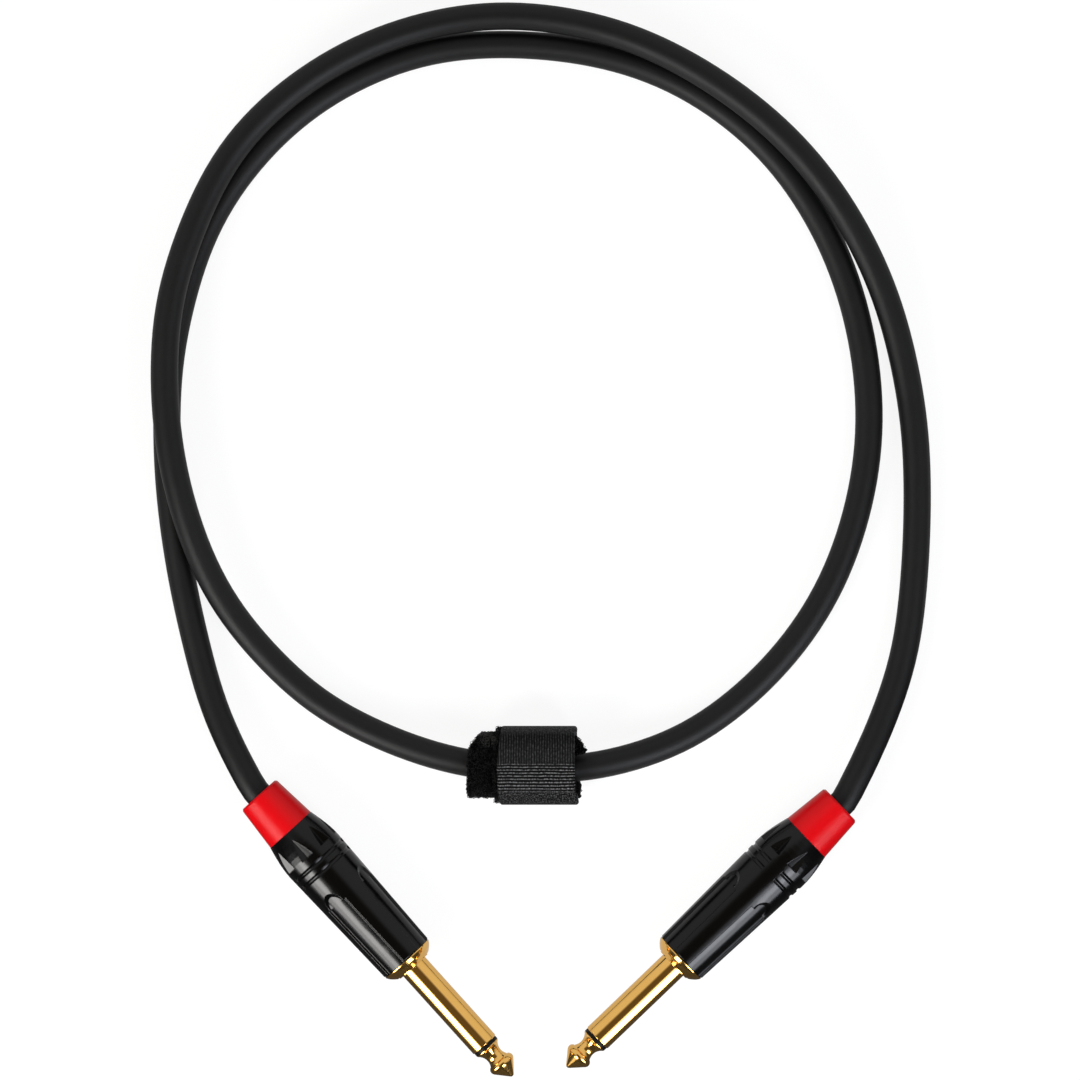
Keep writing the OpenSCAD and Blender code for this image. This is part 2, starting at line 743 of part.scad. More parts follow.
cable_jacket();
cable_shield();
core_insulation();
core_conductor();
sleeve(LEFT);  // left_sleeve
tip_contact(LEFT);  // left_tip_contact
tip_insulator(LEFT);  // left_tip_insulator
rear_insulator(LEFT);  // left_rear_insulator
tip_terminal(LEFT);  // left_tip_terminal
ground_terminal(LEFT);  // left_ground_terminal
insulating_tube(LEFT);  // left_insulating_tube
cord_clamp(LEFT);  // left_cord_clamp
shield_pigtail(LEFT);  // left_shield_pigtail
solder_joints(LEFT);  // left_solder_joints
shell(LEFT);  // left_shell
boot(LEFT);  // left_boot
sleeve(RIGHT);  // right_sleeve
tip_contact(RIGHT);  // right_tip_contact
tip_insulator(RIGHT);  // right_tip_insulator
rear_insulator(RIGHT);  // right_rear_insulator
tip_terminal(RIGHT);  // right_tip_terminal
ground_terminal(RIGHT);  // right_ground_terminal
insulating_tube(RIGHT);  // right_insulating_tube
cord_clamp(RIGHT);  // right_cord_clamp
shield_pigtail(RIGHT);  // right_shield_pigtail
solder_joints(RIGHT);  // right_solder_joints
shell(RIGHT);  // right_shell
boot(RIGHT);  // right_boot
tie_wrap();
tie_flap();
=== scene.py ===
"""Dresses an instrument cable: a round cable in a loose loop, two straight jack plugs and a tie."""

import math

import bpy
import numpy as np
from bpy.props import FloatProperty, FloatVectorProperty, IntProperty, PointerProperty
from mathutils import Matrix, Vector, noise


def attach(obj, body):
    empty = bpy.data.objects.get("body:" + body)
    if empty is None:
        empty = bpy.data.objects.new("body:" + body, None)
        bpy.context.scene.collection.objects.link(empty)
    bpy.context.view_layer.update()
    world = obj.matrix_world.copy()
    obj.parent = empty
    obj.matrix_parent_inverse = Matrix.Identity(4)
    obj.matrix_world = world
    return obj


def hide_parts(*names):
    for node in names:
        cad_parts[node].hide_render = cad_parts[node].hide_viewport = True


bl_info = {
    "name": "Instrument cable",
    "version": (1, 0, 0),
    "blender": (4, 5, 0),
    "location": "View3D > Sidebar > Cable",
    "description": "Builds a looped instrument cable with its plugs and its tie",
    "category": "Object",
}

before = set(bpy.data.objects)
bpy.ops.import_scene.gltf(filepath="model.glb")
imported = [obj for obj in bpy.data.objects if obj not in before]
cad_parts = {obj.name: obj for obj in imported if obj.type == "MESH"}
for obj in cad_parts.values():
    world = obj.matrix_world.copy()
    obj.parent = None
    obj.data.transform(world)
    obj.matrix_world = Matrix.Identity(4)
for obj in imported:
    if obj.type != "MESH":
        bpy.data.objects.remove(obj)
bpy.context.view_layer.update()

# Where each plug lies, in metres and degrees: the boot's cable end, and the heading of the tip
PLUGS = {
    "left": {"x": -0.0629, "y": 0.0231, "heading": -47.9, "roll": 30.0},
    "right": {"x": 0.0633, "y": 0.0209, "heading": 223.8, "roll": -41.5},
}
AXIS_HEIGHT = 0.00705

# The cable's route from plug to plug: x, y and how far it rides up, 0 on the plane that it
# lies on and 1 on another stretch of cable
LOWER_LOOP = [
    (-0.0666, 0.029, 0.58), (-0.0708, 0.0376, 0.35), (-0.0745, 0.0475, 0.1), (-0.0802, 0.072, 0),
    (-0.083, 0.0975, 0), (-0.0815, 0.123, 0), (-0.0725, 0.15, 0), (-0.054, 0.1715, 0),
    (-0.029, 0.184, 0), (-0.0015, 0.1859, 0), (0.0244, 0.1799, 0), (0.0459, 0.1654, 0),
    (0.0605, 0.145, 0), (0.0683, 0.1211, 0), (0.0693, 0.0965, 0), (0.0628, 0.0719, 0),
    (0.0503, 0.0523, 0), (0.0323, 0.0371, 0.15),
]
TIE_STRETCH = [(0.013, 0.03), (-0.004, 0.0287), (-0.021, 0.0307)]
UPPER_LOOP = [
    (-0.0382, 0.0367, 0.3), (-0.0541, 0.0464, 0.2), (-0.0707, 0.0654, 0.55),
    (-0.08, 0.0885, 0.95), (-0.0832, 0.1135, 1), (-0.0801, 0.1374, 1), (-0.0673, 0.1643, 0.85),
    (-0.0443, 0.1831, 0.75), (-0.016, 0.1918, 0.55), (0.0125, 0.1889, 0.7),
    (0.0374, 0.1768, 0.9), (0.0574, 0.1589, 0.8), (0.0715, 0.1355, 0.4), (0.0788, 0.109, 0),
    (0.0802, 0.083, 0), (0.078, 0.0569, 0.05), (0.0734, 0.0414, 0.25), (0.0693, 0.032, 0.52),
    (0.067, 0.0272, 0.6),
]
# Room between two strands where they cross, and the straight bit behind each boot
CROSSING_GAP = 0.0005
STRAIGHT = 0.0006
# How strongly each end of the route follows its plug's axis
LEAD = {"left": 1.25, "right": 1.1}
# Points that the route is spaced out to, and how many of them a kink is spread over
LINE_POINTS = 1200
SOFTENING = 9
# How far each layer reaches into the plugs, from the boot's cable end
JACKET_END = 0.0248
SHIELD_END = 0.0263
CORE_END = 0.0314
STRANDS_END = 0.037
JACKET_BORE = 0.0021
# The radius that turns into metres round the cable in its UV map
MAP_RADIUS = 0.003

# The tie, in the plane across the cable: its middle, half its width and height, the fold from
# which its free end can be opened, and how high that end stops on the near side
TIE_Y = 0.0296
TIE_CABLE_HEIGHT = 0.0069
WRAP_HALF_WIDTH = 0.0069
WRAP_HALF_HEIGHT = 0.0053
WRAP_MIDDLE = 0.0069
FOLD_Y = 0.0331
FREE_END_Z = 0.0034
# From rib to rib of the tie's weave
RIB_PITCH = 0.00064
# The tie's cut edges seen from above, as pairs of y and x
STRAP_LEFT = [
    (0.0208, -0.0101), (0.0214, -0.0105), (0.0232, -0.011), (0.0263, -0.0111),
    (0.0294, -0.0112), (0.0316, -0.0111), (0.0338, -0.0108), (0.0358, -0.0106),
    (0.0374, -0.0103), (0.0379, -0.0098), (0.0381, -0.0088),
]
STRAP_RIGHT = [
    (0.0208, 0.0062), (0.0217, 0.0065), (0.0232, 0.0063), (0.0238, 0.0059), (0.0248, 0.0057),
    (0.0294, 0.0056), (0.0325, 0.0056), (0.0341, 0.0058), (0.0352, 0.0056), (0.0362, 0.0055),
    (0.0365, 0.0061), (0.0374, 0.0062), (0.0381, 0.006),
]
PILE_LEFT = [
    (0.0219, -0.0154), (0.0225, -0.0164), (0.0234, -0.0173), (0.0243, -0.0177), (0.031, -0.0176),
    (0.033, -0.0173), (0.0338, -0.0169), (0.0349, -0.0159), (0.0355, -0.0148), (0.0361, -0.0131),
]
PILE_RIGHT = [
    (0.022, 0.0067), (0.0229, 0.0068), (0.0248, 0.007), (0.0259, 0.0069), (0.0263, 0.0052),
    (0.0316, 0.0052), (0.0322, 0.008), (0.0327, 0.0084), (0.0335, 0.0077), (0.0345, 0.007),
    (0.035, 0.006),
]
# Both cut edges, and the x that each keeps underneath
STRAP_EDGES = (STRAP_LEFT, STRAP_RIGHT, (-0.0108, 0.0062))
PILE_EDGES = (PILE_LEFT, PILE_RIGHT, (-0.0172, 0.0062))
# Where the curls carry a painted highlight: the middle of the pale patch
HIGHLIGHT_PATCH = (-0.0133, 0.0354)

# Lamps: name, compass and height angles in degrees, distance, width and length, watts, colour
WARM, COOL, PLAIN = (1.0, 0.985, 0.965), (0.89, 0.92, 1.0), (1.0, 1.0, 1.0)
SOFTBOXES = [
    ("softbox_left", 221.0, 31.0, 0.9, (0.28, 0.64), 5.0, WARM),
    ("softbox_left_core", 221.0, 38.0, 0.89, (0.26, 0.29), 1.7, WARM),
    ("softbox_left_edge", 221.0, 31.0, 0.92, (0.36, 1.0), 1.2, WARM),
    ("softbox_right", -45.0, 34.0, 0.9, (0.26, 0.8), 3.6, COOL),
    ("softbox_right_core", -45.0, 38.0, 0.89, (0.24, 0.28), 1.4, COOL),
    ("softbox_right_edge", -45.0, 37.0, 0.92, (0.34, 1.05), 1.4, COOL),
    ("softbox_top", 90.0, 80.0, 1.6, (0.9, 0.9), 2.0, PLAIN),
]


# ---------------------------------------------------------------- shader maths


class Wire:
    """A socket of a finish's nodes. Sums of wires add Math nodes."""

    def __init__(self, finish, socket):
        self.finish = finish
        self.socket = socket

    def _sum(self, operation, first, second):
        return self.finish.add("ShaderNodeMath", {"operation": operation}, {0: first, 1: second})

    def __add__(self, other):
        return self._sum("ADD", self, other)

    def __radd__(self, other):
        return self._sum("ADD", other, self)

    def __sub__(self, other):
        return self._sum("SUBTRACT", self, other)

    def __rsub__(self, other):
        return self._sum("SUBTRACT", other, self)

    def __mul__(self, other):
        return self._sum("MULTIPLY", self, other)

    def __rmul__(self, other):
        return self._sum("MULTIPLY", other, self)


class Patterns:
    """A cleared node tree, and the patterns that can be wired up in it."""

    def __init__(self, tree):
        tree.nodes.clear()
        self.nodes, self.links = tree.nodes, tree.links

    def add(self, kind, settings=None, sockets=None, out=0):
        """Adds a node of a kind, with its settings first and then its sockets' values or wires."""
        node = self.nodes.new(kind)
        for name, value in (settings or {}).items():
            setattr(node, name, value)
        for name, value in (sockets or {}).items():
            if isinstance(value, Wire):
                self.links.new(value.socket, node.inputs[name])
            else:
                node.inputs[name].default_value = value
        return Wire(self, node.outputs[out])

    def place(self):
        """A point's place in the row frame, in metres."""
        return self.add("ShaderNodeTexCoord", out=3)

    def along_surface(self):
        """The piece's own UV map, in metres."""
        return self.add("ShaderNodeUVMap", {"uv_map": "surface"})

    def in_plug(self, side):
        """A plug's own frame, in metres: z from the boot's cable end towards the nose."""
        plug = PLUGS[side]
        return self.add(
            "ShaderNodeMapping",
            {"vector_type": "TEXTURE"},
            {
                "Vector": self.place(),
                "Location": (plug["x"], plug["y"], AXIS_HEIGHT),
                "Rotation": (0.0, math.radians(90), math.radians(plug["heading"])),
            },
        )

    def split(self, vector):
        node = self.nodes.new("ShaderNodeSeparateXYZ")
        self.links.new(vector.socket, node.inputs[0])
        return [Wire(self, node.outputs[i]) for i in range(3)]

    def join(self, x, y, z):
        return self.add("ShaderNodeCombineXYZ", None, {0: x, 1: y, 2: z})

    def stretch(self, vector, scale):
        return self.add("ShaderNodeVectorMath", {"operation": "MULTIPLY"}, {0: vector, 1: scale})

    def angle(self, x, y):
        return self.add("ShaderNodeMath", {"operation": "ARCTAN2"}, {0: y, 1: x})

    def noise(self, vector, scale, detail=3.0, roughness=0.5):
        return self.add(
            "ShaderNodeTexNoise",
            None,
            {"Vector": vector, "Scale": scale, "Detail": detail, "Roughness": roughness},
        )

    def sine(self, wire):
        """A wave from 0 to 1."""
        wave = self.add("ShaderNodeMath", {"operation": "SINE"}, {0: wire})
        return wave * 0.5 + 0.5

    def reach(self, wire, low, high, new_low=0.0, new_high=1.0):
        """Maps low..high to new_low..new_high, smoothly and held at its ends."""
        return self.add(
            "ShaderNodeMapRange",
            {"interpolation_type": "SMOOTHSTEP"},
            {0: wire, 1: low, 2: high, 3: new_low, 4: new_high},
        )

    def blend(self, share, first, second):
        """A colour between two, by share."""
        return self.add(
            "ShaderNodeMix",
            {"data_type": "RGBA"},
            {0: share, 6: self.colour(first), 7: self.colour(second)},
            out=2,
        )

    @staticmethod
    def colour(value):
        return value if isinstance(value, Wire) else (*value, 1.0)

    def bump(self, height, depth, strength, under=None):
        """A normal from a height map of that depth, laid over another normal or none."""
        sockets = {"Height": height, "Distance": depth, "Strength": strength}
        if under is not None:
            sockets["Normal"] = under
        return self.add("ShaderNodeBump", None, sockets)

    def eased(self, radius):
        """Rounds the sharp edges of a hard piece by this radius."""
        return self.add("ShaderNodeBevel", {"samples": 6}, {"Radius": radius})


class Finish(Patterns):
    """A material, its one shader and the patterns that vary it over a surface."""

    def __init__(self, name, shader="ShaderNodeBsdfPrincipled", **constants):
        self.material = bpy.data.materials.new(name)
        self.material.use_nodes = True
        super().__init__(self.material.node_tree)
        self.shader = self.nodes.new(shader)
        for socket, value in constants.items():
            self.shader.inputs[socket.replace("_", " ")].default_value = value
        self.output = self.nodes.new("ShaderNodeOutputMaterial")
        self.links.new(self.shader.outputs[0], self.output.inputs["Surface"])

    def feed(self, **wires):
        """Joins wires to the shader's sockets."""
        for socket, wire in wires.items():
            self.links.new(wire.socket, self.shader.inputs[socket.replace("_", " ")])


# ------------------------------------------------------------------- modelling


def start_clean():
    """Leaves edit mode, with nothing selected."""
    if bpy.context.object and bpy.context.object.mode != "OBJECT":
        bpy.ops.object.mode_set(mode="OBJECT")
    bpy.ops.object.select_all(action="DESELECT")


def pick(piece):
    """Makes a piece the only selected object, and the active one."""
    start_clean()
    piece.select_set(True)
    bpy.context.view_layer.objects.active = piece


def settle(piece):
    """Puts the piece's place, turn and size into its mesh."""
    pick(piece)
    bpy.ops.object.transform_apply(location=True, rotation=True, scale=True)


def apply_all(piece):
    pick(piece)
    for modifier in list(piece.modifiers):
        bpy.ops.object.modifier_apply(modifier=modifier.name)


def outward(piece):
    """Merges doubles and points the faces outwards."""
    pick(piece)
    bpy.ops.object.mode_set(mode="EDIT")
    bpy.ops.mesh.select_all(action="SELECT")
    bpy.ops.mesh.remove_doubles(threshold=1e-6)
    bpy.ops.mesh.normals_make_consistent(inside=False)
    bpy.ops.object.mode_set(mode="OBJECT")


def smooth(piece):
    """Shades a piece smooth, apart from edges sharper than 50 degrees."""
    pick(piece)
    bpy.ops.object.shade_smooth_by_angle(angle=math.radians(50))


def wear(piece, finish):
    """Gives a piece its finish."""
    piece.data.materials.clear()
    piece.data.materials.append(finish.material)


def coordinates(mesh):
    points = np.zeros(len(mesh.vertices) * 3)
    mesh.vertices.foreach_get("co", points)
    return points.reshape(-1, 3)


def set_coordinates(mesh, points):
    mesh.vertices.foreach_set("co", np.asarray(points, float).ravel())
    mesh.update()


def heading(side):
    """The unit vector along a plug's axis, towards its nose."""
    angle = math.radians(PLUGS[side]["heading"])
    return np.array([math.cos(angle), math.sin(angle), 0.0])


def on_axis(side, distance):
    """A point on a plug's axis, so far from the boot's cable end towards the nose."""
    plug = PLUGS[side]
    return np.array([plug["x"], plug["y"], AXIS_HEIGHT]) + distance * heading(side)


# ------------------------------------------------------------------ the sizes


class CableSizes(bpy.types.PropertyGroup):
    """Sizes and colours of the cable."""

    diameter: FloatProperty(
        name="Diameter", description="Outer diameter of the jacket", default=0.006,
        min=0.003, max=0.012, unit="LENGTH", precision=4,
    )
    sides: IntProperty(
        name="Sides", description="Faces round the jacket", default=28, min=12, max=48
    )
    rings: IntProperty(
        name="Rings", description="Rings along the cable", default=380, min=120, max=800
    )
    colour: FloatVectorProperty(
        name="Jacket", description="Colour of the jacket", default=(0.002, 0.002, 0.0021),
        subtype="COLOR", min=0.0, max=1.0,
    )


class PlugSizes(bpy.types.PropertyGroup):
    """Colours of the two plugs."""

    boot: FloatVectorProperty(
        name="Boot", description="Colour of the boots", default=(0.61, 0.0004, 0.003),
        subtype="COLOR", min=0.0, max=1.0,
    )
    shell: FloatVectorProperty(
        name="Shell", description="Colour of the lacquered shells",
        default=(0.0005, 0.0005, 0.0006), subtype="COLOR", min=0.0, max=1.0,
    )
    gold: FloatVectorProperty(
        name="Plating", description="Colour of the gold plating", default=(0.97, 0.57, 0.16),
        subtype="COLOR", min=0.0, max=1.0,
    )


class TieSizes(bpy.types.PropertyGroup):
    """Sizes and colours of the hook-and-loop tie."""

    thickness: FloatProperty(
        name="Thickness", description="Thickness of the outer turn", default=0.0014,
        min=0.0008, max=0.002, unit="LENGTH", precision=4,
    )
    loops: IntProperty(
        name="Curls", description="Curls of yarn on the pile", default=2600, min=100, max=3500,
    )
    webbing: FloatVectorProperty(
        name="Webbing", description="Colour of the woven face", default=(0.016, 0.016, 0.0162),
        subtype="COLOR", min=0.0, max=1.0,
    )
    pile: FloatVectorProperty(
        name="Pile", description="Colour of the pile", default=(0.0014, 0.0014, 0.0013),
        subtype="COLOR", min=0.0, max=1.0,
    )


class StageSizes(bpy.types.PropertyGroup):
    """The camera and the studio."""

    middle: FloatVectorProperty(
        name="Middle", description="Point under the middle of the view",
        default=(-0.00188, 0.07837, 0.005), subtype="TRANSLATION", precision=5,
    )
    height: FloatProperty(
        name="Height", description="Camera's height over the middle", default=1.2,
        min=0.3, max=3.0, unit="LENGTH",
    )
    width: FloatProperty(
        name="Width", description="Width that the view takes in", default=0.23478,
        min=0.1, max=1.0, unit="LENGTH", precision=5,
    )


# --------------------------------------------------------------- the cable


def blend_points(a, b, c, d, t):
    """The point at share t between b and c, on a Catmull-Rom curve through all four."""
    return 0.5 * (
        2 * b + t * (c - a) + t * t * (2 * a - 5 * b + 4 * c - d) + t**3 * (3 * b - a - 3 * c + d)
    )


def free_line(diameter, per_span=24):
    """Points of the cable's centreline between the two knees, a straight bit behind each boot."""
    radius = diameter / 2

    def ridden(point):
        x, y, ride = point
        return np.array([x, y, radius + ride * (diameter + CROSSING_GAP)])

    knees = [on_axis("left", -STRAIGHT), on_axis("right", -STRAIGHT)]
    route = [knees[0]]
    route += [ridden(p) for p in LOWER_LOOP]
    route += [np.array([x, y, TIE_CABLE_HEIGHT]) for x, y in TIE_STRETCH]
    route += [ridden(p) for p in UPPER_LOOP]
    route.append(knees[1])
    before = route[1] + LEAD["left"] * np.linalg.norm(route[1] - route[0]) * heading("left")
    after = route[-2] + LEAD["right"] * np.linalg.norm(route[-2] - route[-1]) * heading("right")
    guides = [before, *route, after]
    line = [
        blend_points(*guides[i : i + 4], s / per_span)
        for i in range(len(route) - 1)
        for s in range(per_span)
    ]
    return np.array([*line, knees[1]])


def even(line, count):
    """The same line with so many evenly spaced points, and its length."""
    steps = np.linalg.norm(np.diff(line, axis=0), axis=1)
    along = np.concatenate([[0.0], np.cumsum(steps)])
    want = np.linspace(0.0, along[-1], count)
    return np.stack([np.interp(want, along, line[:, i]) for i in range(3)], axis=1), along[-1]


def softened(line, reach):
    """Rounds off small kinks without cutting the bends: smoothed twice, and the loss added back."""
    count = len(line)
    offsets = np.arange(-3 * reach, 3 * reach + 1)
    weights = np.exp(-0.5 * (offsets / reach) ** 2)
    weights /= weights.sum()

    def once(points):
        first = 2 * points[0] - points[3 * reach : 0 : -1]
        last = 2 * points[-1] - points[-2 : -3 * reach - 2 : -1]
        padded = np.concatenate([first, points, last])
        return np.stack(
            [np.convolve(padded[:, i], weights, mode="valid") for i in range(3)], axis=1
        )

    smoothed = once(line)
    smoothed = 2 * smoothed - once(smoothed)
    near_end = np.minimum(np.arange(count), np.arange(count)[::-1]) / (3.0 * reach)
    share = np.clip(near_end, 0.0, 1.0)[:, None]
    return line + share * (smoothed - line)


def whole_line(diameter, inside, rings):
    """The centreline of a layer that ends a distance inside both plugs, and its length."""
    line, _ = even(free_line(diameter), LINE_POINTS)
    line = softened(line, SOFTENING)
    line[:, 2] = np.maximum(line[:, 2], diameter / 2)
    line = np.concatenate([[on_axis("left", inside)], line, [on_axis("right", inside)]])
    return even(line, rings)


def tube(name, line, radius, bore, sides):
    """A curve with a round bevel along the line, made a mesh and given a wall down to its bore."""
    start_clean()
    bpy.ops.curve.primitive_bezier_curve_add()
    piece = bpy.context.object
    piece.name = name
    curve = piece.data
    curve.splines.clear()
    spline = curve.splines.new("POLY")
    spline.points.add(len(line) - 1)
    for point, place in zip(spline.points, line):
        point.co = (*place, 1.0)
    curve.dimensions = "3D"
    curve.twist_mode = "Z_UP"
    curve.bevel_depth = radius
    curve.bevel_resolution = sides // 4 - 1
    curve.use_fill_caps = bore <= 0
    bpy.ops.object.convert(target="MESH")
    piece = bpy.context.object
    outward(piece)
    if bore > 0:
        wall = piece.modifiers.new("wall", "SOLIDIFY")
        wall.thickness = radius - bore
        wall.offset = -1.0
        wall.use_even_offset = False
        apply_all(piece)
    lay_surface_map(piece, line)
    smooth(piece)
    return piece


def lay_surface_map(piece, line):
    """A UV map in metres: u along the line, v round it."""
    mesh = piece.data
    points = coordinates(mesh)
    steps = np.linalg.norm(np.diff(line, axis=0), axis=1)
    along = np.concatenate([[0.0], np.cumsum(steps)])
    nearest = np.empty(len(points), int)
    batch = 2000
    for start in range(0, len(points), batch):
        part = points[start : start + batch]
        gaps = ((part[:, None, :] - line[None, :, :]) ** 2).sum(axis=2)
        nearest[start : start + batch] = gaps.argmin(axis=1)
    tangent = np.gradient(line, axis=0)
    tangent /= np.linalg.norm(tangent, axis=1)[:, None]
    across = np.cross(tangent, [0.0, 0.0, 1.0])
    across /= np.linalg.norm(across, axis=1)[:, None]
    upward = np.cross(across, tangent)
    away = points - line[nearest]
    turn = np.arctan2((away * upward[nearest]).sum(1), (away * across[nearest]).sum(1))
    layer = mesh.uv_layers.get("surface") or mesh.uv_layers.new(name="surface")
    mesh.uv_layers.active = layer
    corner = np.zeros(len(mesh.loops), int)
    mesh.loops.foreach_get("vertex_index", corner)
    uv = np.stack([along[nearest][corner], turn[corner] * MAP_RADIUS], axis=1)
    for face in mesh.polygons:
        loops = np.array(face.loop_indices)
        v = uv[loops, 1]
        if v.max() - v.min() > math.pi * MAP_RADIUS:
            uv[loops, 1] = np.where(v < 0, v + math.tau * MAP_RADIUS, v)
    layer.data.foreach_set("uv", uv.ravel())


def jacket_finish(colour):
    """Matte PVC with fine grain and faint lines along the cable."""
    f = Finish("black_pvc", Roughness=0.5, IOR=1.5, Specular_IOR_Level=0.3)
    place, surface = f.place(), f.along_surface()
    u, v, _ = f.split(surface)
    cloud = f.noise(place, 160.0, 3.0)
    grain = f.noise(place, 2600.0, 2.0)
    lines = f.noise(f.join(u * 40.0, v * 2400.0, 0.0), 1.0, 2.0)
    f.feed(
        Base_Color=f.blend(cloud, [c * 0.8 for c in colour], [c * 1.35 for c in colour]),
        Roughness=0.44 + cloud * 0.08 + grain * 0.08,
        Normal=f.bump(grain * 0.6 + lines * 0.4, 0.00003, 0.35),
    )
    return f


def copper_finish(name, pitch):
    """Fine strands laid in a long spiral."""
    f = Finish(name, Metallic=1.0, Roughness=0.3)
    u, v, _ = f.split(f.along_surface())
    strands = f.sine((v + u * pitch) * 21000.0)
    cloud = f.noise(f.place(), 900.0, 3.0)
    f.feed(
        Base_Color=f.blend(strands * 0.5 + cloud * 0.5, (0.34, 0.12, 0.05), (0.86, 0.44, 0.25)),
        Roughness=0.22 + cloud * 0.25,
        Normal=f.bump(strands, 0.00005, 0.8),
    )
    return f


def polyethylene_finish():
    """Milky natural plastic."""
    f = Finish("natural_polyethylene", Roughness=0.4, Subsurface_Weight=0.15)
    cloud = f.noise(f.place(), 700.0, 3.0)
    f.feed(
        Base_Color=f.blend(cloud, (0.74, 0.72, 0.66), (0.88, 0.87, 0.83)),
        Roughness=0.34 + cloud * 0.14,
        Normal=f.bump(cloud, 0.00003, 0.4),
    )
    return f


class CABLE_OT_camera(bpy.types.Operator):
    """Sets the camera straight over the cable"""

    bl_idname = "cable.camera"
    bl_label = "Camera"

    def execute(self, context):
        stage = context.scene.cable_stage
        middle = Vector(stage.middle)
        start_clean()
        bpy.ops.object.camera_add(
            location=middle + Vector((0.0, 0.0, stage.height)), rotation=(0.0, 0.0, 0.0)
        )
        camera = context.object
        camera.name = "camera"
        sensor = 36.0
        camera.data.sensor_width = sensor
        camera.data.lens = sensor * stage.height / stage.width
        camera.data.clip_start = 0.05
        camera.data.clip_end = 20.0
        context.scene.camera = camera
        return {"FINISHED"}


class CABLE_OT_cord(bpy.types.Operator):
    """Lays the cable with its four layers"""

    bl_idname = "cable.cord"
    bl_label = "Cable"

    def execute(self, context):
        sizes = context.scene.cable_sizes
        rings = sizes.rings
        jacket_line, length = whole_line(sizes.diameter, JACKET_END, rings)
        jacket = tube("jacket_tube", jacket_line, sizes.diameter / 2, JACKET_BORE, sizes.sides)
        wear(jacket, jacket_finish(sizes.colour))
        # piece, node, how far it reaches into the plugs, radius, bore, faces round it, slot
        layers = [
            ("shield_tube", "cable_shield", SHIELD_END, 0.00192, 0.00163, 16, "bare_copper"),
            ("core_tube", "core_insulation", CORE_END, 0.0014, 0.0006, 12, "natural_polyethylene"),
            ("strand_bundle", "core_conductor", STRANDS_END, 0.00045, 0.0, 8, "bare_copper"),
        ]
        for name, node, end, radius, bore, sides, slot in layers:
            line, _ = whole_line(sizes.diameter, end, rings)
            piece = tube(name, line, radius, bore, sides)
            if slot == "bare_copper":
                finish = copper_finish(name + "_finish", 0.35 if bore > 0 else 0.2)
            else:
                finish = polyethylene_finish()
            wear(piece, finish)
            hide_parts(node)
            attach(piece, "root")
        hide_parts("cable_jacket")
        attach(jacket, "root")
        return {"FINISHED"}


# --------------------------------------------------------------- the plugs


def gold_finish(side, colour):
    """Polished gold plating with faint turning marks and worn lengthwise lines."""
    f = Finish(side + "_gold", Metallic=1.0, Roughness=0.1)
    x, y, z = f.split(f.in_plug(side))
    place = f.place()
    turning = f.noise(f.join(0.0, 0.0, z * 9000.0), 1.0, 2.0)
    wear_and_highlight = f.noise(f.join(f.angle(x, y) * 14.0, z * 90.0, 0.0), 1.0, 3.0)
    cloud = f.noise(place, 220.0, 3.0)
    worn = f.reach(wear_and_highlight, 0.45, 0.75)
    f.feed(
        Base_Color=f.blend(cloud, colour, (colour[0] * 0.94, colour[1] * 0.9, colour[2] * 0.8)),
        Roughness=0.07 + worn * 0.06 + cloud * 0.05,
        Normal=f.bump(turning * 0.7 + wear_and_highlight * 0.3, 0.000004, 0.6, under=f.eased(0.00012)),
    )
    return f


def shell_finish(side, colour):
    """Deep gloss black lacquer on metal, with a trace of handling."""
    f = Finish(side + "_gloss_black", Roughness=0.18, IOR=1.36)
    place = f.in_plug(side)
    x, y, z = f.split(place)
    cloud = f.noise(place, 260.0, 3.0)
    peel = f.noise(place, 1400.0, 2.0)
    hairs = f.noise(f.join(f.angle(x, y) * 30.0, z * 260.0, 0.0), 1.0, 4.0, 0.7)
    wear_and_highlight = f.reach(hairs, 0.62, 0.78)
    f.feed(
        Base_Color=f.blend(cloud, colour, [c * 1.6 for c in colour]),
        Roughness=0.16 + cloud * 0.05 + wear_and_highlight * 0.06,
        Normal=f.bump(peel, 0.000006, 0.5, under=f.eased(0.00022)),
    )
    return f


def boot_finish(side, colour):
    """Satin moulded PVC."""
    f = Finish(side + "_red_pvc", Roughness=0.3, IOR=1.45, Specular_IOR_Level=0.22)
    place = f.in_plug(side)
    cloud = f.noise(place, 320.0, 3.0)
    grain = f.noise(place, 3200.0, 2.0)
    f.feed(
        Base_Color=f.blend(cloud, colour, (colour[0] * 1.1, colour[1] * 1.6, colour[2] * 1.5)),
        Roughness=0.25 + cloud * 0.05 + grain * 0.05,
        Normal=f.bump(grain, 0.00002, 0.3, under=f.eased(0.0003)),
    )
    return f


def plain_finish(name, side, low, high, roughness, metallic=0.0, shine=0.5):
    """A moulded or plated piece inside a plug, slightly cloudy and fine-grained."""
    f = Finish(side + "_" + name, Metallic=metallic, Roughness=roughness, Specular_IOR_Level=shine)
    place = f.in_plug(side)
    cloud = f.noise(place, 900.0, 3.0)
    grain = f.noise(place, 4500.0, 2.0)
    f.feed(
        Base_Color=f.blend(cloud, low, high),
        Roughness=roughness + cloud * 0.1 - 0.05,
        Normal=f.bump(grain, 0.00001, 0.4, under=f.eased(0.0001)),
    )
    return f


def pigtail_finish(side):
    """Twisted copper wires."""
    f = Finish(side + "_pigtail", Metallic=1.0, Roughness=0.3)
    x, y, z = f.split(f.in_plug(side))
    strands = f.sine(f.angle(x, y + 0.0026) * 9.0 + z * 2600.0)
    f.feed(
        Base_Color=f.blend(strands, (0.36, 0.13, 0.06), (0.88, 0.46, 0.27)),
        Roughness=0.2 + strands * 0.15,
        Normal=f.bump(strands, 0.00008, 0.8),
    )
    return f


